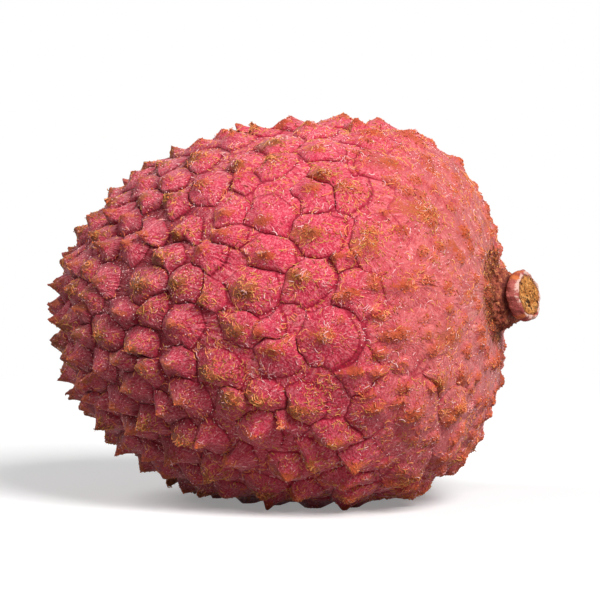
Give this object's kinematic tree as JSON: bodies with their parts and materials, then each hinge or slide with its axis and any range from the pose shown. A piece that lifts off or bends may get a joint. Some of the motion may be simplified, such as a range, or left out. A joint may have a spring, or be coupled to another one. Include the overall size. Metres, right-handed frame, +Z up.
{
  "type": "lychee",
  "caption": "Whole ripe lychee lying on its side, with a scaly pink-red rind and a short cut stem stub.",
  "frame": {"origin": "on the surface the fruit lies on, under the middle of the part's box", "axes": "+X along the fruit towards its stem, +Z up, +Y across"},
  "size_m": [0.04, 0.0326, 0.0317],
  "materials": {
    "rind": "dry leathery skin, crimson-pink with orange-brown scale tips",
    "stem_wood": "rough bark with a pale, fibrous cut end"
  },
  "bodies": {
    "root": {"fruit": "rind", "stem_stub": "stem_wood"}
  },
  "joints": []
}
